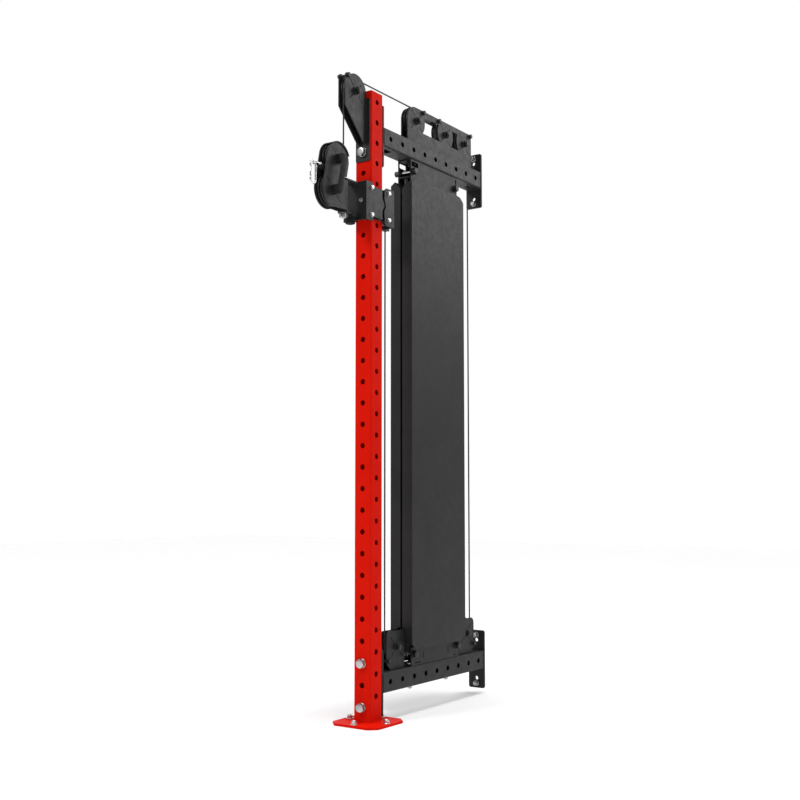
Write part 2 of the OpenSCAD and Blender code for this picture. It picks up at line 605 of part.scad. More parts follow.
// a U of round bar lying flat, with a pin across its open end
module shackle() color(zinc) {
  for (s = [-1, 1]) ycyl(-329, -311, 9 * s, 2029.4, 3.2);
  translate([0, -329, 2029.4]) rotate([0, 0, 180]) rotate_extrude(angle = 180) translate([9, 0]) circle(3.2);
  xcyl(-14, 14, -311, 2029.4, 3.4);
}
// spring hook: a long loop of round bar, open where the gate closes
hook_r = 14;
bar_r = 3.8;
hook_y = -338;
module carabiner() color(zinc) translate([0, hook_y, 0]) {
  translate([0, 0, 2022.7]) rotate([90, 0, 90]) rotate_extrude(angle = 180) translate([hook_r, 0]) circle(bar_r);
  translate([0, 0, 1965.8]) rotate([90, 0, 90]) rotate([0, 0, 180]) rotate_extrude(angle = 180) translate([hook_r, 0]) circle(bar_r);
  zcyl(1965.8, 2022.7, 0, hook_r, bar_r);
  zcyl(1965.8, 1973.8, 0, -hook_r, bar_r);
  zcyl(2013, 2022.7, 0, -hook_r, bar_r);
}
module carabiner_gate() color(zinc) zcyl(1975.4, 2012.2, 0, hook_y - hook_r, 3.4);

upright();
foot_plate();
foot_anchors();
upper_beam();
lower_beam();
beam_end_plates();
frame_bolts();
wall_bolts();
top_front_bracket();
beam_pulley_bracket();
bottom_brackets();
bracket_hardware();
cover_right();
cover_left();
hanger_bracket();
base_bracket();
cross_bolts();
guide_rods();
rod_bumpers();
resting_plates();
lifted_plates();
head_plate();
selector_rod();
selector_pin();
floating_yoke();
floating_axle();
pulley_floating();
pulley_top_front();
pulley_beam_front();
pulley_beam_middle();
pulley_beam_rear();
pulley_bottom_rear();
pulley_bottom_front();
trolley_front();
trolley_rear();
roller_axles();
roller_front_upper();
roller_front_lower();
roller_rear_upper();
roller_rear_lower();
lock_housing();
lock_pin();
yoke();
yoke_hood();
yoke_handle();
yoke_axles();
pulley_yoke_upper();
pulley_yoke_lower();
pivot_bolt();
detent_plunger();
cable_run();
cable_front();
cable_behind();
cable_lift();
cable_floating();
cable_head();
cable_stop();
shackle();
carabiner();
carabiner_gate();
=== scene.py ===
import bpy, bmesh, math, json
from mathutils import Vector, Matrix


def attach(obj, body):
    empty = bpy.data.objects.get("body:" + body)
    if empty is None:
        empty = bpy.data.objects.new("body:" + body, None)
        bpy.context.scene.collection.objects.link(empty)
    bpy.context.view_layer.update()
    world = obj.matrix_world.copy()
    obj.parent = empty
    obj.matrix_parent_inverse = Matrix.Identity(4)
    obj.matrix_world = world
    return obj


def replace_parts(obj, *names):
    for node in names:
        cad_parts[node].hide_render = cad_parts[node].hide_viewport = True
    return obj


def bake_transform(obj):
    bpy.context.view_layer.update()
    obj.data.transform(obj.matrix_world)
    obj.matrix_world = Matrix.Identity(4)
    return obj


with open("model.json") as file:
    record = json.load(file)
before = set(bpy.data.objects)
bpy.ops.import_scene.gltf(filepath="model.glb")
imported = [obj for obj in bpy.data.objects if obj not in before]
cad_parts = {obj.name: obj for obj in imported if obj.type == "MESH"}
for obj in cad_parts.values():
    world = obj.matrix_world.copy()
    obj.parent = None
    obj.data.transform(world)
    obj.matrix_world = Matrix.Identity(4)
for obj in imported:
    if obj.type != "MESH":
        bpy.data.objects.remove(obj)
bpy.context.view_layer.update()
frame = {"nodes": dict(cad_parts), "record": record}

N = frame["nodes"]
scene = bpy.context.scene

# ---------------------------------------------------------------- camera
cam_data = bpy.data.cameras.new("photo_camera")
cam = bpy.data.objects.new("photo_camera", cam_data)
scene.collection.objects.link(cam)
cam.location = (2.47298, -3.33799, 0.83502)
cam.rotation_euler = (math.radians(90 + 4.9507), 0, math.radians(34.8985))
cam_data.lens = 49.658
cam_data.sensor_width = 36
cam_data.clip_end = 60
scene.camera = cam

# ---------------------------------------------------------------- node helpers
def mat_new(name):
    m = bpy.data.materials.new(name)
    m.use_nodes = True
    nt = m.node_tree
    nt.nodes.clear()
    out = nt.nodes.new("ShaderNodeOutputMaterial")
    b = nt.nodes.new("ShaderNodeBsdfPrincipled")
    nt.links.new(b.outputs[0], out.inputs[0])
    return m, nt, b

def noise(nt, co, scale, detail=3, rough=0.5, w=None):
    n = nt.nodes.new("ShaderNodeTexNoise")
    n.inputs["Scale"].default_value = scale
    n.inputs["Detail"].default_value = detail
    n.inputs["Roughness"].default_value = rough
    nt.links.new(co, n.inputs["Vector"])
    return n.outputs["Fac"]

def ramp(nt, fac, stops):
    r = nt.nodes.new("ShaderNodeValToRGB")
    els = r.color_ramp.elements
    els[0].position, els[0].color = stops[0][0], (*stops[0][1], 1)
    els[1].position, els[1].color = stops[-1][0], (*stops[-1][1], 1)
    for p, c in stops[1:-1]:
        e = els.new(p)
        e.color = (*c, 1)
    nt.links.new(fac, r.inputs[0])
    return r.outputs[0]

def maprange(nt, v, a, b, c, d):
    n = nt.nodes.new("ShaderNodeMapRange")
    n.inputs["From Min"].default_value = a
    n.inputs["From Max"].default_value = b
    n.inputs["To Min"].default_value = c
    n.inputs["To Max"].default_value = d
    nt.links.new(v, n.inputs["Value"])
    return n.outputs[0]

def mixc(nt, fac, a, b):
    n = nt.nodes.new("ShaderNodeMix")
    n.data_type = "RGBA"
    nt.links.new(fac, n.inputs["Factor"])
    for s, v in (("A", a), ("B", b)):
        sock = [i for i in n.inputs if i.name == s and i.type == "RGBA"][0]
        if isinstance(v, tuple):
            sock.default_value = (*v, 1)
        else:
            nt.links.new(v, sock)
    return [o for o in n.outputs if o.type == "RGBA"][0]

def edge_mask(nt, radius):
    """0 on flat faces, 1 at sharp edges; also gives the rounded normal."""
    bev = nt.nodes.new("ShaderNodeBevel")
    bev.samples = 6
    bev.inputs["Radius"].default_value = radius
    geo = nt.nodes.new("ShaderNodeNewGeometry")
    dot = nt.nodes.new("ShaderNodeVectorMath")
    dot.operation = "DOT_PRODUCT"
    nt.links.new(bev.outputs[0], dot.inputs[0])
    nt.links.new(geo.outputs["Normal"], dot.inputs[1])
    return maprange(nt, dot.outputs["Value"], 0.985, 0.80, 0.0, 1.0), bev.outputs[0]

def bump(nt, height, strength, dist, normal=None):
    b = nt.nodes.new("ShaderNodeBump")
    b.inputs["Strength"].default_value = strength
    b.inputs["Distance"].default_value = dist
    nt.links.new(height, b.inputs["Height"])
    if normal is not None:
        nt.links.new(normal, b.inputs["Normal"])
    return b.outputs[0]

def obj_co(nt, scale=(1, 1, 1)):
    tc = nt.nodes.new("ShaderNodeTexCoord")
    mp = nt.nodes.new("ShaderNodeMapping")
    mp.inputs["Scale"].default_value = scale
    nt.links.new(tc.outputs["Object"], mp.inputs["Vector"])
    return mp.outputs[0]

def powder(name, dark, base, light, edge, r0, r1, grain=0.35, edge_amt=0.5, spec=0.5):
    """Powder coat: fine orange-peel texture, cloudy tone, thin edges lightened as a painted highlight."""
    m, nt, b = mat_new(name)
    co = obj_co(nt)
    cloud = noise(nt, co, 7, 4, 0.6)
    fine = noise(nt, co, 900, 2, 0.5)
    col = ramp(nt, cloud, [(0.25, dark), (0.5, base), (0.75, light)])
    speck = maprange(nt, fine, 0.35, 0.75, 0.0, 0.25)
    col = mixc(nt, speck, col, light)
    # painted highlight: the edge mask, broken up by noise, lightens the colour at edges towards the edge colour
    mask, nrm = edge_mask(nt, 0.0012)
    edge_highlight_noise = noise(nt, co, 60, 4, 0.7)
    edge_highlight_fac = nt.nodes.new("ShaderNodeMath")
    edge_highlight_fac.operation = "MULTIPLY"
    nt.links.new(mask, edge_highlight_fac.inputs[0])
    nt.links.new(maprange(nt, edge_highlight_noise, 0.3, 0.7, edge_amt * 0.35, edge_amt), edge_highlight_fac.inputs[1])
    col = mixc(nt, edge_highlight_fac.outputs[0], col, edge)
    nt.links.new(col, b.inputs["Base Color"])
    nt.links.new(maprange(nt, noise(nt, co, 45, 3, 0.6), 0.3, 0.7, r0, r1), b.inputs["Roughness"])
    peel = noise(nt, co, 520, 2, 0.6)
    nt.links.new(bump(nt, peel, grain, 0.0002, nrm), b.inputs["Normal"])
    b.inputs["Specular IOR Level"].default_value = spec
    return m

def metal(name, dark, light, r0, r1, streak=(1, 1, 60), grain=0.15, spot=None):
    """Metal with fine brushed lines and cloudy roughness."""
    m, nt, b = mat_new(name)
    co = obj_co(nt)
    cs = obj_co(nt, streak)
    lines = noise(nt, cs, 90, 4, 0.65)
    cloud = noise(nt, co, 35, 4, 0.6)
    col = ramp(nt, cloud, [(0.3, dark), (0.7, light)])
    if spot:
        col = mixc(nt, maprange(nt, noise(nt, co, 140, 3, 0.7), 0.62, 0.8, 0, 0.55), col, spot)
    mask, nrm = edge_mask(nt, 0.0006)
    # painted highlight: edges lightened towards the light colour
    col = mixc(nt, maprange(nt, mask, 0, 1, 0, 0.35), col, light)
    nt.links.new(col, b.inputs["Base Color"])
    b.inputs["Metallic"].default_value = 1.0
    nt.links.new(maprange(nt, lines, 0.3, 0.7, r0, r1), b.inputs["Roughness"])
    nt.links.new(bump(nt, lines, grain, 0.0001, nrm), b.inputs["Normal"])
    return m

def plastic(name, dark, light, r0, r1, scale=300, grain=0.2, spec=0.45, rings=False):
    """Moulded plastic or rubber: soft mottling and a fine moulded grain."""
    m, nt, b = mat_new(name)
    co = obj_co(nt)
    col = ramp(nt, noise(nt, co, 25, 4, 0.6), [(0.3, dark), (0.7, light)])
    mask, nrm = edge_mask(nt, 0.0008)
    # painted highlight: edges lightened to a paler tone
    col = mixc(nt, maprange(nt, mask, 0, 1, 0, 0.4), col, tuple(min(1, c * 2.2 + 0.01) for c in light))
    nt.links.new(col, b.inputs["Base Color"])
    nt.links.new(maprange(nt, noise(nt, co, 60, 3, 0.6), 0.3, 0.7, r0, r1), b.inputs["Roughness"])
    nt.links.new(bump(nt, noise(nt, co, scale, 3, 0.6), grain, 0.0002, nrm), b.inputs["Normal"])
    b.inputs["Specular IOR Level"].default_value = spec
    return m

# the fourth colour given to each powder coat is its painted edge highlight
RED = powder("red_powder_coat", (0.60, 0.0060, 0.0012), (0.64, 0.0074, 0.0016), (0.68, 0.0095, 0.0024), (0.72, 0.05, 0.03), 0.42, 0.54, 0.30, 0.30, 0.025)
BLACK = powder("black_powder_coat", (0.0115, 0.0115, 0.012), (0.016, 0.016, 0.0165), (0.0215, 0.0215, 0.022), (0.085, 0.085, 0.085), 0.40, 0.54, 0.45, 0.40, 0.23)
SHEET = powder("black_sheet_coat", (0.012, 0.012, 0.0125), (0.016, 0.016, 0.0165), (0.020, 0.020, 0.0205), (0.075, 0.075, 0.075), 0.42, 0.52, 0.25, 0.30, 0.21)
ZINC = metal("zinc_plate", (0.36, 0.36, 0.37), (0.62, 0.62, 0.63), 0.22, 0.38, (1, 1, 8), 0.2, (0.30, 0.30, 0.32))
CHROME = metal("hard_chrome", (0.62, 0.62, 0.64), (0.80, 0.80, 0.82), 0.08, 0.18, (40, 40, 1), 0.08)
GUIDE = metal("guide_rod_steel", (0.05, 0.05, 0.052), (0.09, 0.09, 0.093), 0.2, 0.3, (40, 40, 1), 0.08)
HOOK = metal("polished_steel", (0.55, 0.55, 0.56), (0.80, 0.80, 0.81), 0.10, 0.20, (6, 6, 6), 0.1)
BOLT = powder("black_oxide", (0.008, 0.008, 0.0085), (0.012, 0.012, 0.0125), (0.018, 0.018, 0.019), (0.08, 0.08, 0.08), 0.34, 0.48, 0.2, 0.5, 0.28)
RUBBER = plastic("black_rubber", (0.008, 0.008, 0.008), (0.014, 0.014, 0.0145), 0.6, 0.78, 420, 0.35, 0.2)
NYLON = plastic("pulley_nylon", (0.008, 0.008, 0.0085), (0.015, 0.015, 0.016), 0.36, 0.48, 500, 0.15, 0.3)
CABLE = plastic("cable_jacket", (0.018, 0.018, 0.019), (0.034, 0.034, 0.036), 0.30, 0.42, 700, 0.15, 0.3)
PAINTS = {
    "red_coat": RED, "black_coat": BLACK, "zinc_bolts": ZINC, "black_bolts": BOLT,
    "bright_rod": CHROME, "rubber": RUBBER, "pulley_nylon": NYLON, "cable_jacket": CABLE, "polished_hook": HOOK,
}
slot_of = {s["node"]: s["material_slot"] for s in frame["record"]["subparts"]}
SPECIAL = {"guide_rods": GUIDE, "cover_right": SHEET, "cover_left": SHEET, "hanger_bracket": SHEET, "base_bracket": SHEET}
for name, o in N.items():
    m = SPECIAL.get(name, PAINTS[slot_of[name]])
    o.data.materials.clear()
    o.data.materials.append(m)

# ---------------------------------------------------------------- mesh helpers
def obj_from(name, verts, faces, mat, body, smooth=40):
    me = bpy.data.meshes.new(name)
    me.from_pydata([tuple(v) for v in verts], [], faces)
    me.validate()
    bm = bmesh.new()
    bm.from_mesh(me)
    bmesh.ops.remove_doubles(bm, verts=bm.verts, dist=1e-6)
    bmesh.ops.recalc_face_normals(bm, faces=bm.faces)
    bm.to_mesh(me)
    bm.free()
    me.polygons.foreach_set("use_smooth", [True] * len(me.polygons))
    me.set_sharp_from_angle(angle=math.radians(smooth))
    me.materials.append(mat)
    o = bpy.data.objects.new(name, me)
    scene.collection.objects.link(o)
    if body:
        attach(o, body)
    return o

class Build:
    """Gathers closed solids into one mesh."""
    def __init__(self):
        self.v, self.f = [], []
    def add(self, verts, faces):
        k = len(self.v)
        self.v += [Vector(p) for p in verts]
        self.f += [tuple(k + i for i in f) for f in faces]
    def rings(self, rings, cap0=True, cap1=True, loop=False):
        """Closed skin through a list of rings of equal length."""
        n = len(rings[0])
        verts = [p for r in rings for p in r]
        faces = []
        m = len(rings)
        for i in range(m if loop else m - 1):
            a, b = i * n, ((i + 1) % m) * n
            for k in range(n):
                faces.append((a + k, a + (k + 1) % n, b + (k + 1) % n, b + k))
        if not loop:
            if cap0:
                faces.append(tuple(range(n - 1, -1, -1)))
            if cap1:
                faces.append(tuple((m - 1) * n + k for k in range(n)))
        self.add(verts, faces)
    def lathe(self, o, d, prof, n=40, radius=None):
        """Turns (distance along d, radius) points round the axis through o along d. radius(t, r) may shape it."""
        d = Vector(d).normalized()
        u = d.orthogonal().normalized()
        if abs(d.z) < 0.9:
            u = Vector((0, 0, 1)).cross(d).normalized()
        w = d.cross(u)
        o = Vector(o)
        rings = []
        for s, r in prof:
            ring = []
            for k in range(n):
                t = 2 * math.pi * k / n
                rr = r if radius is None else radius(t, r)
                ring.append(o + d * s + (u * math.cos(t) + w * math.sin(t)) * rr)
            rings.append(ring)
        self.rings(rings)
    def hexa(self, o, d, af, h, turn=0.0, n=48):
        """Hexagon head or nut of height h along d, its outer face turned off at 30 degrees."""
        d = Vector(d).normalized()
        u = d.orthogonal().normalized()
        if abs(d.z) < 0.9:
            u = Vector((0, 0, 1)).cross(d).normalized()
        w = d.cross(u)
        o = Vector(o)
        def rad(t):
            a = ((t - turn + math.pi / 6) % (math.pi / 3)) - math.pi / 6
            return af / 2 / math.cos(a)
        rc = af / 2 * 0.97
        rings = [[], [], [], [], []]
        for k in range(n):
            t = 2 * math.pi * k / n
            e = u * math.cos(t) + w * math.sin(t)
            R = rad(t)
            drop = (R - rc) * 0.577
            rings[0].append(o + e * (R * 0.985))
            rings[1].append(o + d * 0.0004 + e * R)
            rings[2].append(o + d * (h - drop) + e * R)
            rings[3].append(o + d * h + e * rc)
            rings[4].append(o + d * (h + 0.0001) + e * rc * 0.55)
        self.rings(rings)
    def washer(self, o, d, r, h):
        c = min(h * 0.25, 0.0006)
        self.lathe(o, d, [(0, r - c), (c, r), (h - c, r), (h, r - c)], 40)
    def thread(self, o, d, r, length, pitch=0.0016):
        """Stub of a threaded end: crests and roots, then a chamfer."""
        prof = [(0, r * 0.9)]
        s = 0.0
        while s < length - pitch * 1.4:
            prof += [(s + pitch * 0.25, r * 0.9), (s + pitch * 0.75, r)]
            s += pitch
        prof += [(length - pitch, r * 0.9), (length, r * 0.72)]
        self.lathe(o, d, prof, 28)
    def make(self, name, mat, body, slot, smooth=35):
        return obj_from(name, self.v, self.f, mat, body, smooth)

mm = 0.001
def V(x, y, z):
    return Vector((x * mm, y * mm, z * mm))

def sweep(points, radius, sides=16, loop=False):
    """Rings of a round bar along points; radius is a number or a list."""
    pts = [Vector(p) for p in points]
    n = len(pts)
    tang = []
    for i in range(n):
        a = pts[i - 1] if (i or loop) else pts[i]
        b = pts[(i + 1) % n] if (i < n - 1 or loop) else pts[i]
        tang.append((b - a).normalized())
    u = tang[0].orthogonal().normalized()
    rings = []
    for i in range(n):
        t = tang[i]
        u = (u - t * u.dot(t)).normalized()
        w = t.cross(u)
        r = radius[i] if isinstance(radius, (list, tuple)) else radius
        rings.append([pts[i] + (u * math.cos(2 * math.pi * k / sides) + w * math.sin(2 * math.pi * k / sides)) * r for k in range(sides)])
    return rings

def arc_pts(c, r, a0, a1, n, x=0.0):
    """Points on a circle in the (Y, Z) plane, angles in degrees, in mm."""
    return [V(x, c[0] + r * math.cos(math.radians(a0 + (a1 - a0) * i / n)), c[1] + r * math.sin(math.radians(a0 + (a1 - a0) * i / n))) for i in range(n + 1)]

# ---------------------------------------------------------------- fasteners
P = {"TF": (-108, 2359), "B1": (303.5, 2359), "B2": (519.5, 2359), "B3": (668, 2359), "BR": (668, 262), "BF": (159, 262),
     "FL": (411.5, 800), "YU": (-216, 2067.5), "YL": (-243, 1946.5)}

def through(b, x, z, yf, y0=45.5, af=31, afn=30):
    """Frame bolt along Y: headed at the front, washers, nut and thread behind the flange."""
    b.washer(V(x, yf, z), (0, -1, 0), 18 * mm, 3.4 * mm)
    b.hexa(V(x, yf - 3.4, z), (0, -1, 0), af * mm, 13 * mm, 0.2)
    b.lathe(V(x, yf - 1, z), (0, 1, 0), [(0, 9.8 * mm), ((y0 - yf + 2) * mm, 9.8 * mm)], 32)
    b.washer(V(x, y0, z), (0, 1, 0), 18 * mm, 3 * mm)
    b.hexa(V(x, y0 + 3, z), (0, 1, 0), afn * mm, 15 * mm, 0.5)
    b.thread(V(x, y0 + 17.5, z), (0, 1, 0), 9.8 * mm, 6.3 * mm)

def bolts_frame():
    b = Build()
    through(b, 0, 2141, -42.5)
    through(b, 0, 221, -37.5)
    through(b, 0, 61, -37.5)
    b.hexa(V(0, -42.5, 2301), (0, -1, 0), 24 * mm, 10 * mm, math.pi / 6)
    b.lathe(V(0, -43, 2301), (0, 1, 0), [(0, 8 * mm), (90 * mm, 8 * mm)], 32)
    b.washer(V(0, 45.5, 2301), (0, 1, 0), 18 * mm, 3 * mm)
    b.hexa(V(0, 48.5, 2301), (0, 1, 0), 24 * mm, 13 * mm, 0.1)
    b.thread(V(0, 61, 2301), (0, 1, 0), 8 * mm, 8 * mm)
    for y in (250, 508):
        for x in (-16, 16):
            b.hexa(V(x, y, 183.5), (0, 0, 1), 17 * mm, 6.4 * mm, 0.3)
            b.lathe(V(x, y, 184), (0, 0, -1), [(0, 5 * mm), (80 * mm, 5 * mm)], 20)
            b.hexa(V(x, y, 103.5), (0, 0, -1), 17 * mm, 9 * mm, 0.7)
            b.thread(V(x, y, 95), (0, 0, -1), 5 * mm, 3.4 * mm, 0.0012)
    for y in (300, 520):
        for x in (-16, 16):
            b.hexa(V(x, y, 2178.5), (0, 0, -1), 17 * mm, 6.4 * mm, 0.3)
            b.lathe(V(x, y, 2178), (0, 0, 1), [(0, 5 * mm), (14 * mm, 5 * mm)], 20)
            b.hexa(V(x, y, 2186.5), (0, 0, 1), 17 * mm, 9 * mm, 0.7)
            b.thread(V(x, y, 2195), (0, 0, 1), 5 * mm, 3.4 * mm, 0.0012)
    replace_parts(b.make("frame_bolt_set", ZINC, "frame", "zinc_bolts"), "frame_bolts")

def bolts_wall():
    b = Build()
    for z in (2221, 141):
        for s in (-101, 101):
            b.washer(V(0, 777.5, z + s), (0, -1, 0), 12 * mm, 2.5 * mm)
            b.hexa(V(0, 775, z + s), (0, -1, 0), 19 * mm, 10.4 * mm, 0.4)
            b.thread(V(0, 765, z + s), (0, -1, 0), 6.5 * mm, 7.4 * mm)
            b.lathe(V(0, 776, z + s), (0, 1, 0), [(0, 6.5 * mm), (9.4 * mm, 6.5 * mm)], 24)
    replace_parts(b.make("wall_bolt_set", ZINC, "frame", "zinc_bolts"), "wall_bolts")

def anchors():
    b = Build()
    for k, (x, y) in enumerate(((84, 0), (0, 84), (-84, 0), (0, -84))):
        b.washer(V(x, y, 8), (0, 0, 1), 14 * mm, 2.4 * mm)
        b.hexa(V(x, y, 10.4), (0, 0, 1), 19 * mm, 10 * mm, 0.3 + k)
        b.thread(V(x, y, 20), (0, 0, 1), 6 * mm, 4 * mm, 0.0013)
        b.lathe(V(x, y, 0.1), (0, 0, 1), [(0, 6 * mm), (9 * mm, 6 * mm)], 24)
    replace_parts(b.make("floor_anchor_set", ZINC, "frame", "zinc_bolts"), "foot_anchors")

def axle_bolt(b, p, w, out, body_af=17):
    r = 15 if body_af > 17 else 12.5
    b.lathe(V(w, p[0], p[1]), (1, 0, 0), [(0, r * mm), (0.0038, r * mm), (0.005, (r - 1.2) * mm)], 44)
    b.hexa(V(w + 4.6, p[0], p[1]), (1, 0, 0), body_af * mm, (out - 4.8) * mm, 0.35)
    if body_af > 17:
        b.lathe(V(w + out - 1, p[0], p[1]), (1, 0, 0), [(0, 8.5 * mm), (3.6 * mm, 8.3 * mm), (4.8 * mm, 7.2 * mm)], 36)
    b.lathe(V(-w, p[0], p[1]), (-1, 0, 0), [(0, 12.5 * mm), (0.0035, 12.5 * mm), (0.005, 11.4 * mm)], 44)
    b.hexa(V(-w - 5, p[0], p[1]), (-1, 0, 0), body_af * mm, 5.8 * mm, 0.8)
    b.thread(V(-w - 10.5, p[0], p[1]), (-1, 0, 0), 5 * mm, 1.5 * mm, 0.001)
    b.lathe(V(-w, p[0], p[1]), (1, 0, 0), [(0, 5 * mm), (2 * w * mm, 5 * mm)], 24)

def spacer(b, p, w):
    for s in (-1, 1):
        b.lathe(V(s * 12.1, p[0], p[1]), (s, 0, 0), [(0, 8.6 * mm), (0.3 * mm, 9 * mm), ((w - 12.4) * mm, 9 * mm), ((w - 12.1) * mm, 8.6 * mm)], 32)

def hardware():
    b = Build()
    for k in ("TF", "B1", "B2", "B3", "BR", "BF"):
        axle_bolt(b, P[k], 17, 17, 24)
        spacer(b, P[k], 13)
    for y, z in ((-161, 2404), (349, 2405), (467, 2404), (716, 2405), (102, 214), (721, 214)):
        b.lathe(V(-13, y, z), (1, 0, 0), [(0, 4.5 * mm), (26 * mm, 4.5 * mm)], 24)
        b.lathe(V(17, y, z), (1, 0, 0), [(0, 9.8 * mm), (2.4 * mm, 9.8 * mm), (3.0 * mm, 9.3 * mm)], 36)
        b.hexa(V(19.8, y, z), (1, 0, 0), 16 * mm, 8 * mm, 0.5)
        b.washer(V(-17, y, z), (-1, 0, 0), 9.2 * mm, 1.6 * mm)
        b.hexa(V(-18.5, y, z), (-1, 0, 0), 16.6 * mm, 6.4 * mm, 0.3)
        b.lathe(V(-26, y, z), (1, 0, 0), [(0, 3.4 * mm), (0.5 * mm, 3.9 * mm), (43 * mm, 3.9 * mm)], 20)
    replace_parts(b.make("bracket_hardware_set", BOLT, "frame", "black_bolts"), "bracket_hardware")
    b = Build()
    axle_bolt(b, P["FL"], 17, 11)
    spacer(b, P["FL"], 13)
    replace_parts(b.make("floating_axle_bolt", BOLT, "weight_lift", "black_bolts"), "floating_axle")
    b, shank = Build(), Build()
    for z in (2135, 224):
        for y in (255.5, 567.5):
            b.lathe(V(31.5, y, z), (1, 0, 0), [(0, 14.5 * mm), (2.8 * mm, 14.5 * mm), (3.5 * mm, 13.8 * mm)], 44)
            b.hexa(V(34.8, y, z), (1, 0, 0), 24 * mm, 11.2 * mm, 0.4)
            b.washer(V(-31.5, y, z), (-1, 0, 0), 12.5 * mm, 1.2 * mm)
            h = 21 if z > 1000 else 9.2
            b.hexa(V(-32.7, y, z), (-1, 0, 0), 22 * mm, h * mm, 0.1)
            b.thread(V(-32.6 - h, y, z), (-1, 0, 0), 6 * mm, 2.1 * mm, 0.001)
            shank.lathe(V(-31.4, y, z), (1, 0, 0), [(0, 6 * mm), (62.8 * mm, 6 * mm)], 32)
    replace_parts(shank.make("cross_bolt_shanks", CHROME, "frame", "bright_rod"), "cross_bolts")
    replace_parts(b.make("cross_bolt_set", BOLT, "frame", "black_bolts"), "cross_bolts")

def hardware_trolley():
    b = Build()
    for y in (-55, 55):
        for z in (1993.5, 1888.5):
            b.washer(V(54, y, z), (1, 0, 0), 9.4 * mm, 1.4 * mm)
            b.hexa(V(55.4, y, z), (1, 0, 0), 15 * mm, 4.6 * mm, 0.4)
            b.washer(V(-54, y, z), (-1, 0, 0), 9.4 * mm, 1.4 * mm)
            b.hexa(V(-55.4, y, z), (-1, 0, 0), 15 * mm, 4.6 * mm, 0.9)
            b.thread(V(-59.8, y, z), (-1, 0, 0), 5 * mm, 2.1 * mm, 0.001)
            b.lathe(V(-54.5, y, z), (1, 0, 0), [(0, 5 * mm), (109 * mm, 5 * mm)], 24)
            for a, c in ((-21.8, 21.8), (36.2, 40.2), (-40.2, -36.2), (44.6, 48.8), (-48.8, -44.6)):
                b.lathe(V(a, y, z), (1, 0, 0), [(0, 7.2 * mm), (0.3 * mm, 7.5 * mm), ((c - a - 0.3) * mm, 7.5 * mm), ((c - a) * mm, 7.2 * mm)], 28)
    for x in (29,):
        b.washer(V(x, -90, 1941), (0, -1, 0), 8 * mm, 1.2 * mm)
        b.hexa(V(x, -91.2, 1941), (0, -1, 0), 11.5 * mm, 3.8 * mm, 0.3)
        b.lathe(V(x, -90.5, 1941), (0, 1, 0), [(0, 4 * mm), (9 * mm, 4 * mm)], 20)
    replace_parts(b.make("roller_axle_bolts", ZINC, "trolley", "zinc_bolts"), "roller_axles")
    b = Build()
    b.hexa(V(0, -162, 2009), (0, 0, 1), 22 * mm, 8 * mm, 0.25)
    b.lathe(V(0, -162, 1876), (0, 0, 1), [(0, 8 * mm), (134 * mm, 8 * mm)], 36)
    b.hexa(V(0, -162, 1877), (0, 0, -1), 27 * mm, 15 * mm, 0.6)
    b.thread(V(0, -162, 1862.3), (0, 0, -1), 8 * mm, 3.2 * mm, 0.0014)
    for z, h in ((1877, 1.8), (1885.1, 1.7), (2000.4, 2.5)):
        b.washer(V(0, -162, z), (0, 0, 1), 14 * mm, h * mm)
    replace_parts(b.make("pivot_bolt_set", ZINC, "trolley", "zinc_bolts"), "pivot_bolt")
    b = Build()
    for k in ("YU", "YL"):
        p = P[k]
        b.lathe(V(-20, p[0], p[1]), (-1, 0, 0), [(0, 12 * mm), (3.2 * mm, 12 * mm), (4 * mm, 11.2 * mm)], 40)
        b.hexa(V(-24, p[0], p[1]), (-1, 0, 0), 16 * mm, 5.8 * mm, 0.4)
        b.lathe(V(-24, p[0], p[1]), (1, 0, 0), [(0, 5 * mm), (67.5 * mm, 5 * mm)], 24)
        spacer(b, p, 15)
    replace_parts(b.make("head_axle_bolts", BOLT, "swivel_head", "black_bolts"), "yoke_axles")

bolts_frame()
bolts_wall()
anchors()
hardware()
hardware_trolley()

# ---------------------------------------------------------------- cable, hook and stop
EX = (-216 + 54 * math.cos(math.radians(-100)), 2067.5 + 54 * math.sin(math.radians(-100)))
PULL = (-math.sin(math.radians(80)), math.cos(math.radians(80)))
def along(s):
    return V(0, EX[0] + PULL[0] * s, EX[1] + PULL[1] * s)

def span(name, a, b, node, parts=10):
    """A straight taut span between two points."""
    bd = Build()
    bd.rings(sweep([a.lerp(b, i / parts) for i in range(parts + 1)], 3 * mm, 16))
    o = bd.make(name, CABLE, None, "cable_jacket", 60)
    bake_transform(o)
    return o

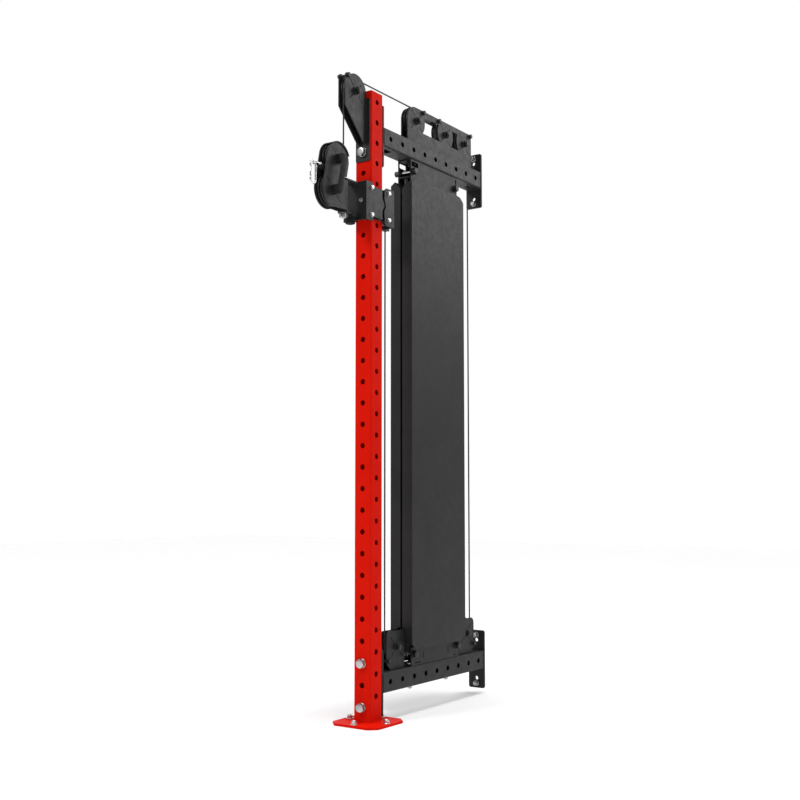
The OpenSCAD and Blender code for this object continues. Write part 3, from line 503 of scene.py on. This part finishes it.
def cables():
    o = span("cable_front_span", V(0, -162, 2359), V(0, -162, 2067.5), "cable_front")
    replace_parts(o, "cable_front")
    o = span("cable_rear_span", V(0, 105, 262), V(0, 105, 1899), "cable_behind")
    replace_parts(o, "cable_behind")
    a = span("cable_lift_span_front", V(0, 357.5, 2359), V(0, 357.5, 800), "cable_lift")
    b = span("cable_lift_span_rear", V(0, 465.5, 2359), V(0, 465.5, 800), "cable_lift")
    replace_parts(a, "cable_lift")
    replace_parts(b, "cable_lift")
    bd = Build()
    bd.rings(sweep(arc_pts(P["YU"], 54, 0, -100, 40), 3 * mm, 16))
    o = bd.make("cable_round_head_pulley", CABLE, "swivel_head", "cable_jacket", 60)
    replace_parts(o, "cable_head")
    o = span("cable_user_span", along(0), along(43), "cable_head", 4)
    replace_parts(o, "cable_head")
    bd = Build()
    runs = arc_pts(P["TF"], 54, 180, 90, 24) + arc_pts(P["B1"], 54, 90, 0, 24)
    bd.rings(sweep(runs, 3 * mm, 16))
    runs = arc_pts(P["B2"], 54, 180, 90, 24) + arc_pts(P["B3"], 54, 90, 0, 24) + arc_pts(P["BR"], 54, 0, -90, 24) + arc_pts(P["BF"], 54, -90, -180, 24)
    bd.rings(sweep(runs, 3 * mm, 16))
    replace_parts(bd.make("cable_fixed_run", CABLE, "frame", "cable_jacket", 60), "cable_run")
    bd = Build()
    bd.rings(sweep(arc_pts(P["FL"], 54, 180, 360, 48), 3 * mm, 16))
    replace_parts(bd.make("cable_round_floating_pulley", CABLE, "weight_lift", "cable_jacket", 60), "cable_floating")

def cable_end():
    bd = Build()
    d = (0, PULL[0], PULL[1])
    prof = [(42, 4.2), (42.6, 5.4), (44, 6.2), (45.5, 7.6), (47.5, 9.6), (50, 10.4), (52, 10.5), (55, 10.5), (55.6, 10.1), (56.4, 10.1), (57, 10.5),
            (61, 10.5), (61.6, 10.1), (62.4, 10.1), (63, 10.5), (67, 10.5), (69, 10.2), (71, 9.0), (72.4, 7.2), (73.2, 6.4), (77, 6.4), (78, 5.6)]
    bd.lathe(along(0), d, [(s * mm, r * mm) for s, r in prof], 40)
    eye = []
    for k in range(32):
        t = 2 * math.pi * k / 32
        c, s = math.cos(t), math.sin(t)
        eye.append([V(x, -311 + r * c, 2029.4 + r * s) for x, r in ((-2.4, 3.6), (-3, 4.2), (-3, 6.4), (-2.4, 7), (2.4, 7), (3, 6.4), (3, 4.2), (2.4, 3.6))])
    bd.rings(eye, loop=True)
    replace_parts(bd.make("rubber_cable_stop", RUBBER, "cable_end", "rubber", 50), "cable_stop")
    bd = Build()
    pts = [V(9, -311, 2029.4), V(9, -320, 2029.4)]
    pts += [V(9 * math.cos(math.radians(a)), -329 - 9 * math.sin(math.radians(a)), 2029.4) for a in range(0, 181, 10)]
    pts += [V(-9, -320, 2029.4), V(-9, -311, 2029.4)]
    bd.rings(sweep(pts, 3.2 * mm, 16))
    for s in (-1, 1):
        bd.lathe(V(9 * s - 3.2, -311, 2029.4), (1, 0, 0), [(0, 4.0 * mm), (0.5 * mm, 4.6 * mm), (5.9 * mm, 4.6 * mm), (6.4 * mm, 4.0 * mm)], 28)
    bd.lathe(V(-13.6, -311, 2029.4), (1, 0, 0), [(0, 2.6 * mm), (0.5 * mm, 3.2 * mm), (26 * mm, 3.2 * mm)], 24)
    bd.lathe(V(11.8, -311, 2029.4), (1, 0, 0), [(0, 3.2 * mm), (0.4 * mm, 3.4 * mm), (1.8 * mm, 3.4 * mm), (2.2 * mm, 3.0 * mm)], 24)
    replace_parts(bd.make("bow_shackle", HOOK, "cable_end", "polished_hook", 50), "shackle")
    # spring hook
    bd = Build()
    c = (-338, 2022.7)
    pts = [V(0, -352, 2013.0), V(0, -352, 2014.0), V(0, -352, 2018)] + arc_pts((-338, 2022.7), 14, 180, 0, 26) + [V(0, -324, 2010), V(0, -324, 1990), V(0, -324, 1975)]
    pts += arc_pts((-338, 1965.8), 14, 0, -180, 26) + [V(0, -352, 1969), V(0, -352, 1972.8), V(0, -352, 1973.8)]
    n = len(pts)
    rad = [3.8 * mm] * n
    rad[0], rad[-1] = 3.1 * mm, 3.3 * mm
    bd.rings(sweep(pts, rad, 20))
    # nose notch: a small cross pin that the gate shuts on
    bd.lathe(V(-3.6, -352, 2014.4), (1, 0, 0), [(0, 1.0 * mm), (0.2 * mm, 1.2 * mm), (7.0 * mm, 1.2 * mm), (7.2 * mm, 1.0 * mm)], 16)
    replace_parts(bd.make("spring_hook_body", HOOK, "carabiner", "polished_hook", 60), "carabiner")
    bd = Build()
    bd.lathe(V(0, -352, 1975.4), (0, 0, 1), [(0, 2.4 * mm), (0.8 * mm, 3.2 * mm), (2 * mm, 3.4 * mm), (33 * mm, 3.4 * mm), (33.6 * mm, 3.0 * mm), (34.4 * mm, 3.0 * mm), (35 * mm, 3.4 * mm), (36.3 * mm, 3.2 * mm), (36.8 * mm, 2.4 * mm)], 28)
    bd.lathe(V(-3.7, -352, 1978), (1, 0, 0), [(0, 0.9 * mm), (0.2 * mm, 1.2 * mm), (7.2 * mm, 1.2 * mm), (7.4 * mm, 0.9 * mm)], 16)
    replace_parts(bd.make("spring_hook_gate", HOOK, "carabiner_gate", "polished_hook", 50), "carabiner_gate")

# ---------------------------------------------------------------- knobs and handle
def fluted(count, depth):
    return lambda t, r: r - depth * mm * (0.5 - 0.5 * math.cos(count * t)) ** 3 if r > 12 * mm else r

def knobs():
    bd = Build()
    bd.lathe(V(0, -118, 1868), (0, 0, -1), [(0, 12 * mm), (1 * mm, 16.5 * mm), (2.5 * mm, 18.3 * mm), (4.5 * mm, 19 * mm), (16 * mm, 19 * mm), (19 * mm, 18.2 * mm), (21 * mm, 16 * mm), (22 * mm, 11 * mm)], 96, fluted(12, 2.0))
    o = bd.make("plunger_knob", RUBBER, "detent_plunger", "rubber", 50)
    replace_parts(o, "detent_plunger")
    bd = Build()
    bd.lathe(V(0, -118, 1867), (0, 0, 1), [(0, 4 * mm), (18.6 * mm, 4 * mm), (19.8 * mm, 3.0 * mm)], 28)
    o = bd.make("plunger_pin", CHROME, "detent_plunger", "bright_rod", 40)
    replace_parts(o, "detent_plunger")
    bd = Build()
    bd.lathe(V(-113, 0, 1941), (-1, 0, 0), [(0, 13 * mm), (0.8 * mm, 16.5 * mm), (2 * mm, 17.6 * mm), (4 * mm, 18 * mm), (11 * mm, 18 * mm), (13.4 * mm, 17 * mm), (14.6 * mm, 14.5 * mm), (15 * mm, 9 * mm)], 96, fluted(10, 2.0))
    o = bd.make("lock_knob", RUBBER, "lock_pin", "rubber", 50)
    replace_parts(o, "lock_pin")
    bd = Build()
    bd.lathe(V(-113.5, 0, 1941), (1, 0, 0), [(0, 10 * mm), (72.2 * mm, 10 * mm), (73.6 * mm, 9.2 * mm), (74.5 * mm, 7.4 * mm)], 44)
    o = bd.make("lock_pin_rod", CHROME, "lock_pin", "bright_rod", 40)
    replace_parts(o, "lock_pin")
    # selector pin with a round grip, from the -X side
    bd = Build()
    pz = 262 + 20 * 20.3 - 5 * 20.3 + 10.15
    bd.lathe(V(13, 411.5, pz), (-1, 0, 0), [(0, 2.4 * mm), (2 * mm, 4 * mm), (73 * mm, 4 * mm)], 28)
    o = bd.make("selector_pin_rod", ZINC, "selector_pin", "zinc_bolts", 40)
    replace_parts(o, "selector_pin")
    bd = Build()
    bd.lathe(V(-59, 411.5, pz), (-1, 0, 0), [(0, 6 * mm), (0.8 * mm, 8.6 * mm), (6 * mm, 9 * mm), (10 * mm, 11.4 * mm), (15 * mm, 13 * mm), (22 * mm, 13 * mm), (26 * mm, 11.4 * mm), (28 * mm, 7 * mm)], 72, fluted(8, 1.2))
    o = bd.make("selector_pin_grip", RUBBER, "selector_pin", "rubber", 50)
    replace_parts(o, "selector_pin")

def stadium(r, n=20):
    """Outline of half width r round the two axles of the swivel head."""
    up, lo = P["YU"], P["YL"]
    ang = math.degrees(math.atan2(up[1] - lo[1], up[0] - lo[0]))
    pts = [(up[0] + r * math.cos(math.radians(ang - 90 + 180 * i / n)), up[1] + r * math.sin(math.radians(ang - 90 + 180 * i / n))) for i in range(n + 1)]
    pts += [(lo[0] + r * math.cos(math.radians(ang + 90 + 180 * i / n)), lo[1] + r * math.sin(math.radians(ang + 90 + 180 * i / n))) for i in range(n + 1)]
    return pts

def handle():
    bd = Build()
    rings = []
    for x, r in ((46, 12.3), (46.3, 13.0), (47.2, 13.5), (50.6, 13.5), (51.6, 13.0), (52, 12.0)):
        rings.append([V(x, a, c) for a, c in stadium(r)])
    bd.rings(rings)
    for k in ("YU", "YL"):
        p = P[k]
        rings = []
        for x, g in ((20, 0.0), (44, 0.0), (46.4, 0.6)):
            ring = []
            for cy, cz, a0 in ((9.5, 12, 0), (-9.5, 12, 90), (-9.5, -12, 180), (9.5, -12, 270)):
                ring += [V(x, p[0] + cy + (4 - g) * math.cos(math.radians(a0 + 15 * q)), p[1] + cz + (4 - g) * math.sin(math.radians(a0 + 15 * q))) for q in range(7)]
            rings.append(ring)
        bd.rings(rings)
    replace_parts(bd.make("head_handle", RUBBER, "swivel_head", "black_coat", 40), "yoke_handle")

# ---------------------------------------------------------------- weld beads
def bead(b, pts, r, pitch=0.0034):
    """A weld bead along a polyline: stacked ripples."""
    path = []
    for i in range(len(pts) - 1):
        a, c = Vector(pts[i]), Vector(pts[i + 1])
        n = max(2, int((c - a).length / (pitch / 3)))
        path += [a.lerp(c, k / n) for k in range(n)]
    path.append(Vector(pts[-1]))
    rad = [r * (1.0 + 0.10 * math.cos(2 * math.pi * k / 3)) for k in range(len(path))]
    rad[0] = rad[-1] = r * 0.5
    b.rings(sweep(path, rad, 8))

def welds():
    b = Build()
    h = 37.5
    bead(b, [V(-h + 6, -h, 8.4), V(h - 6, -h, 8.4), V(h, -h + 6, 8.4), V(h, h - 6, 8.4), V(h - 6, h, 8.4), V(-h + 6, h, 8.4), V(-h, h - 6, 8.4), V(-h, -h + 6, 8.4), V(-h + 6, -h, 8.4)], 2.6 * mm)
    b.make("foot_weld", RED, "frame", "red_coat", 60)
    b = Build()
    for z in (2221, 141):
        for y in (45.9, 777.1):
            bead(b, [V(-h + 6, y, z - h), V(h - 6, y, z - h), V(h, y, z - h + 6), V(h, y, z + h - 6), V(h - 6, y, z + h), V(-h + 6, y, z + h), V(-h, y, z + h - 6), V(-h, y, z - h + 6), V(-h + 6, y, z - h)], 2.2 * mm)
    for s in (-1, 1):
        bead(b, [V(17.4 * s, -42.8, 2168), V(17.4 * s, -42.8, 2346)], 1.6 * mm)
    b.make("beam_welds", BLACK, "frame", "black_coat", 60)
    b = Build()
    for s in (-1, 1):
        for z, q in ((2003, 1), (1885, -1)):
            bead(b, [V(20 * s, -92, z - 0.3 * q), V(20 * s, -110, z - 0.3 * q)], 1.0 * mm)
    b.make("tab_welds", BLACK, "trolley", "black_coat", 60)

cables()
cable_end()
knobs()
handle()
welds()

# ---------------------------------------------------------------- floor and light
def floor():
    me = bpy.data.meshes.new("floor")
    bm = bmesh.new()
    bmesh.ops.create_grid(bm, x_segments=8, y_segments=8, size=14)
    bm.to_mesh(me)
    bm.free()
    o = bpy.data.objects.new("floor", me)
    scene.collection.objects.link(o)
    o.location = (0, 0, -0.0005)
    m, nt, b = mat_new("pale_floor")
    co = obj_co(nt)
    nt.links.new(ramp(nt, noise(nt, co, 3, 3, 0.5), [(0.3, (0.745, 0.745, 0.745)), (0.7, (0.755, 0.755, 0.755))]), b.inputs["Base Color"])
    b.inputs["Roughness"].default_value = 0.9
    b.inputs["Specular IOR Level"].default_value = 0.0
    b.inputs["Emission Color"].default_value = (1, 1, 1, 1)
    b.inputs["Emission Strength"].default_value = 0.14
    me.materials.append(m)
floor()

def area(name, loc, target, size, power, size_y=None):
    d = bpy.data.lights.new(name, "AREA")
    d.energy = power
    d.shape = "RECTANGLE"
    d.size = size
    d.size_y = size_y or size
    o = bpy.data.objects.new(name, d)
    scene.collection.objects.link(o)
    o.location = loc
    o.rotation_euler = (Vector(target) - Vector(loc)).to_track_quat("-Z", "Y").to_euler()
    return o

w = bpy.data.worlds.new("studio")
scene.world = w
w.use_nodes = True
wt = w.node_tree
bg = wt.nodes["Background"]
tc = wt.nodes.new("ShaderNodeTexCoord")
vm = wt.nodes.new("ShaderNodeVectorMath")
vm.operation = "DOT_PRODUCT"
wt.links.new(tc.outputs["Generated"], vm.inputs[0])
vm.inputs[1].default_value = (-0.572, 0.820, 0.0)
# white behind the object, a paler grey wall on the other sides of the studio
wt.links.new(ramp(wt, maprange(wt, vm.outputs["Value"], 0.25, 0.65, 0, 1), [(0.0, (0.36, 0.36, 0.36)), (1.0, (1, 1, 1))]), bg.inputs[0])
bg.inputs[1].default_value = 1.0
area("rim_right", (2.7, 3.9, 3.9), (0, 0.4, 2.0), 3.0, 82, 2.6)
area("key_left", (-1.77, -4.38, 5.1), (0, 0, 1.4), 1.4, 132, 1.4)
for name, energy, angle in (("overhead_soft", 1.0, 40), ("overhead_core", 0.95, 9)):
    d = bpy.data.lights.new(name, "SUN")
    d.energy = energy
    d.angle = math.radians(angle)
    o = bpy.data.objects.new(name, d)
    scene.collection.objects.link(o)
    o.rotation_euler = (math.radians(4), math.radians(6), 0)
scene.view_settings.view_transform = "Standard"
scene.view_settings.look = "None"
